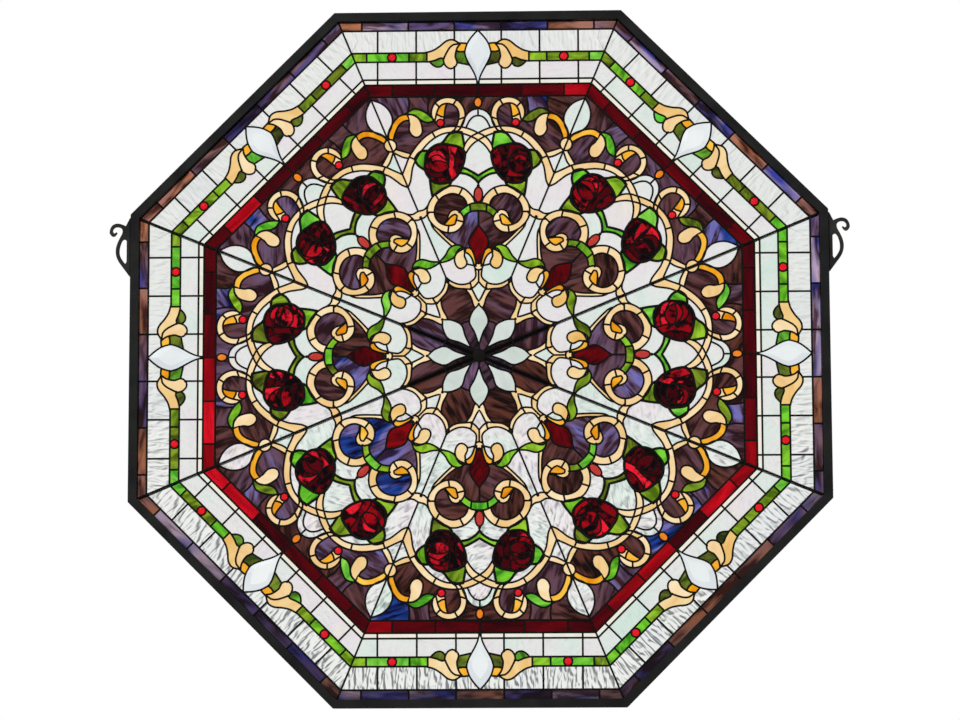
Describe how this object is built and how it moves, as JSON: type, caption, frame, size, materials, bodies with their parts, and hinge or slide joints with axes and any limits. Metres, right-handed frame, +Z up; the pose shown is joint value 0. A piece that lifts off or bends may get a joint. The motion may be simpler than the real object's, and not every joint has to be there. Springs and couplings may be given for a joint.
{
  "type": "stained glass window",
  "caption": "Octagonal leaded glass window in a black metal frame, patterned with roses and scrolls round a star, with scroll hangers at its sides and crossed bars behind.",
  "frame": {"origin": "midway between the chain seats, the flat undersides of the two hanger scrolls, in the middle of the pane's thickness", "axes": "+Z up, +X to the right as seen from the face, -Y out of the face"},
  "size_m": [0.9706, 0.016, 0.914],
  "materials": {
    "frame_metal": "satin black over drawn metal channel",
    "hanger_metal": "black painted casting",
    "bar_metal": "black painted flat bar",
    "solder": "black patinated solder beads, slightly uneven",
    "white_glass": "wispy white opal sheet",
    "clear_glass": "clear, bevelled and polished",
    "border_glass": "streaky brown, violet and blue sheet",
    "ruby_glass": "streaky dark ruby sheet",
    "rose_glass": "dark ruby, nearly black between the petals",
    "cream_glass": "wispy cream to honey sheet",
    "amber_glass": "amber sheet",
    "green_glass": "streaky leaf green sheet",
    "purple_glass": "streaky violet brown sheet",
    "jewel_glass": "pressed round and oval jewels"
  },
  "bodies": {
    "root": {"frame": "frame_metal", "hanger_right": "hanger_metal", "hanger_left": "hanger_metal", "bar_long": "bar_metal", "bar_short_right": "bar_metal", "bar_short_left": "bar_metal", "lead_net": "solder", "outer_border_glass_1": "border_glass", "outer_border_glass_2": "border_glass", "outer_border_glass_3": "border_glass", "outer_border_glass_4": "border_glass", "outer_border_glass_5": "border_glass", "outer_border_glass_6": "border_glass", "outer_border_glass_7": "border_glass", "outer_border_glass_8": "border_glass", "white_border_glass_1": "white_glass", "white_border_glass_2": "white_glass", "white_border_glass_3": "white_glass", "white_border_glass_4": "white_glass", "white_border_glass_5": "white_glass", "white_border_glass_6": "white_glass", "white_border_glass_7": "white_glass", "white_border_glass_8": "white_glass", "ruby_border_glass_1": "ruby_glass", "ruby_border_glass_2": "ruby_glass", "ruby_border_glass_3": "ruby_glass", "ruby_border_glass_4": "ruby_glass", "ruby_border_glass_5": "ruby_glass", "ruby_border_glass_6": "ruby_glass", "ruby_border_glass_7": "ruby_glass", "ruby_border_glass_8": "ruby_glass", "field_glass_1": "white_glass", "field_glass_2": "white_glass", "field_glass_3": "white_glass", "field_glass_4": "white_glass", "field_glass_5": "white_glass", "field_glass_6": "white_glass", "field_glass_7": "white_glass", "field_glass_8": "white_glass", "bevelled_kite_1": "clear_glass", "bevelled_kite_2": "clear_glass", "bevelled_kite_3": "clear_glass", "bevelled_kite_4": "clear_glass", "bevelled_kite_5": "clear_glass", "bevelled_kite_6": "clear_glass", "bevelled_kite_7": "clear_glass", "bevelled_kite_8": "clear_glass", "star_diamond_1": "white_glass", "star_diamond_2": "white_glass", "star_diamond_3": "white_glass", "star_diamond_4": "white_glass", "star_diamond_5": "white_glass", "star_diamond_6": "white_glass", "star_diamond_7": "white_glass", "star_diamond_8": "white_glass"}
  },
  "joints": []
}
